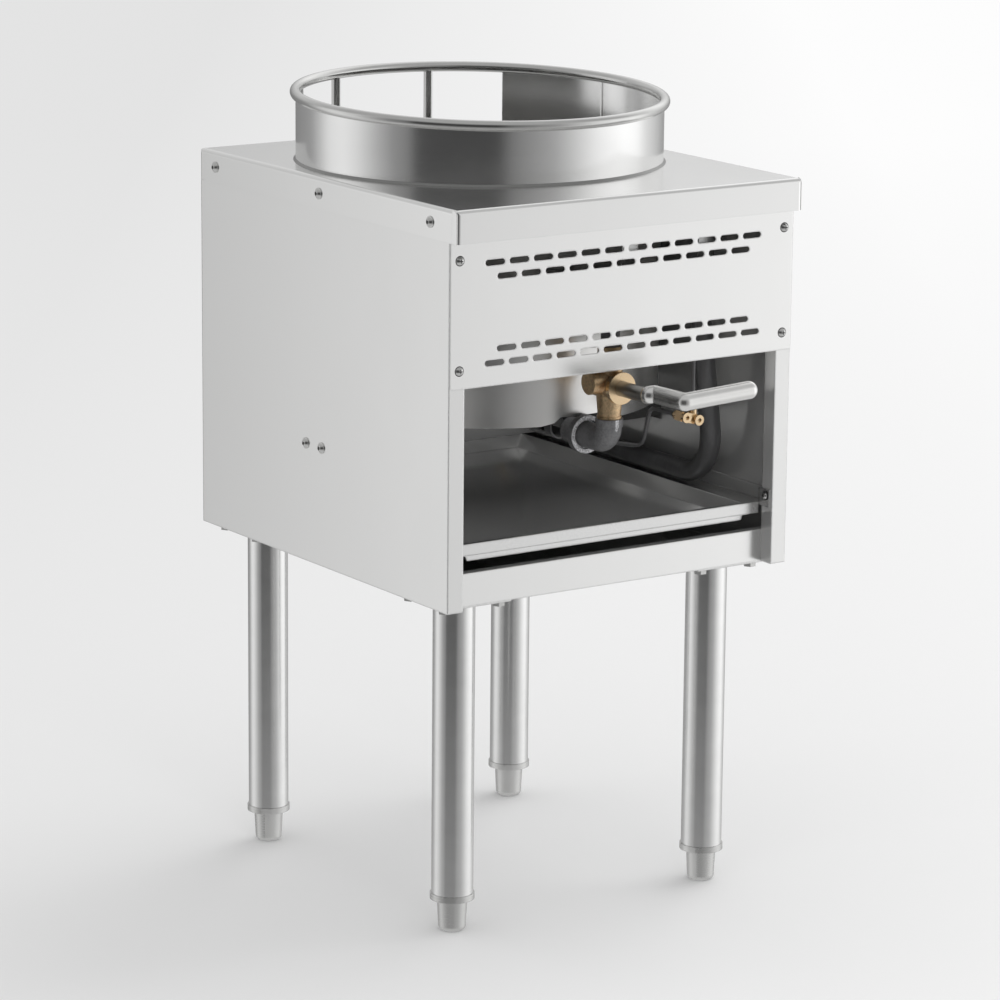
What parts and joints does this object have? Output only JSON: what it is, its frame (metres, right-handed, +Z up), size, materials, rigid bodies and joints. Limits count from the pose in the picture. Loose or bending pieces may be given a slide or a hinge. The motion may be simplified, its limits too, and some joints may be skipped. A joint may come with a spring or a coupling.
{
  "type": "wok range",
  "caption": "Freestanding gas wok range: folded steel body with vented front, raised wok ring cut away at the rear, knee-height valve handle, sliding drip tray, tube legs with levelling feet.",
  "frame": {"origin": "middle of the whole object's outline at floor level, handle and inlet pipe included", "axes": "+Z up, the front faces -Y, +X to the right seen from the front"},
  "size_m": [0.4674, 0.6614, 0.9119],
  "materials": {
    "sheet_steel": "satin brushed stainless sheet",
    "front_steel": "satin brushed stainless sheet",
    "ring_steel": "brushed stainless with a welded seam",
    "chamber_steel": "brushed stainless, lightly heat tinted",
    "tray_steel": "satin stainless sheet",
    "leg_steel": "satin stainless tube",
    "fastener_steel": "plain steel fastener",
    "handle_steel": "polished steel bar",
    "brass": "cast and turned brass",
    "black_pipe": "black malleable iron and coated tube",
    "cast_burner": "rough cast iron"
  },
  "bodies": {
    "range_body": {"left_side_panel": "sheet_steel", "right_side_panel": "sheet_steel", "back_panel": "sheet_steel", "top_cover": "sheet_steel", "upper_front_rail": "sheet_steel", "base_panel": "sheet_steel", "base_channel_left": "sheet_steel", "base_channel_right": "sheet_steel", "burner_cross_bar": "sheet_steel", "manifold_hangers": "sheet_steel", "tray_runner_left": "sheet_steel", "tray_runner_right": "sheet_steel", "leg_plates": "sheet_steel", "front_vent_panel": "front_steel", "lower_front_rail": "front_steel", "wok_ring_band": "ring_steel", "wok_ring_rim": "ring_steel", "ring_posts": "ring_steel", "ring_weld_bead": "ring_steel", "combustion_chamber": "chamber_steel", "leg_front_left": "leg_steel", "leg_front_right": "leg_steel", "leg_rear_left": "leg_steel", "leg_rear_right": "leg_steel", "leg_collars": "leg_steel", "chamber_studs": "fastener_steel", "leg_bolts": "fastener_steel", "leg_nuts": "fastener_steel", "panel_screws": "fastener_steel", "vent_panel_screws": "fastener_steel", "pilot_burner": "fastener_steel", "gas_orifice": "brass", "gas_valve_body": "brass", "valve_cap": "brass", "gas_inlet": "brass", "pilot_valve_body": "brass", "orifice_holder": "black_pipe", "feed_nipple": "black_pipe", "feed_elbow": "black_pipe", "valve_riser": "black_pipe", "gas_manifold": "black_pipe", "supply_tube": "black_pipe", "pilot_feed_tube": "black_pipe", "pilot_tube": "black_pipe", "burner_mixing_tube": "black_pipe", "burner_head": "cast_burner"},
    "drip_tray": {"drip_tray": "tray_steel"},
    "valve_handle": {"valve_stem": "handle_steel", "handle_hub": "handle_steel", "knee_handle": "handle_steel"},
    "pilot_screw_left": {"pilot_screw_left": "brass"},
    "pilot_screw_right": {"pilot_screw_right": "brass"},
    "foot_front_left": {"foot_front_left": "leg_steel"},
    "foot_front_right": {"foot_front_right": "leg_steel"},
    "foot_rear_left": {"foot_rear_left": "leg_steel"},
    "foot_rear_right": {"foot_rear_right": "leg_steel"}
  },
  "joints": [
    {"name": "drip_tray_slide", "type": "slide", "parent": "range_body", "child": "drip_tray", "axis": [0, -1, 0], "range_m": [0, 0.4]},
    {"name": "valve_handle_turn", "type": "hinge", "parent": "range_body", "child": "valve_handle", "pos_m": [0, -0.21625, 0.60905], "axis": [0, 1, 0], "range_deg": [0, 90]},
    {"name": "pilot_screw_left_turn", "type": "hinge", "parent": "range_body", "child": "pilot_screw_left", "pos_m": [0.0951, -0.20225, 0.56455], "axis": [0, 1, 0], "range_deg": [0, 540]},
    {"name": "pilot_screw_right_turn", "type": "hinge", "parent": "range_body", "child": "pilot_screw_right", "pos_m": [0.112, -0.20225, 0.56002], "axis": [0, 1, 0], "range_deg": [0, 540]},
    {"name": "foot_front_left_screw_out", "type": "slide", "parent": "range_body", "child": "foot_front_left", "axis": [0, 0, -1], "range_m": [0, 0.025]},
    {"name": "foot_front_right_screw_out", "type": "slide", "parent": "range_body", "child": "foot_front_right", "axis": [0, 0, -1], "range_m": [0, 0.025]},
    {"name": "foot_rear_left_screw_out", "type": "slide", "parent": "range_body", "child": "foot_rear_left", "axis": [0, 0, -1], "range_m": [0, 0.025]},
    {"name": "foot_rear_right_screw_out", "type": "slide", "parent": "range_body", "child": "foot_rear_right", "axis": [0, 0, -1], "range_m": [0, 0.025]}
  ]
}
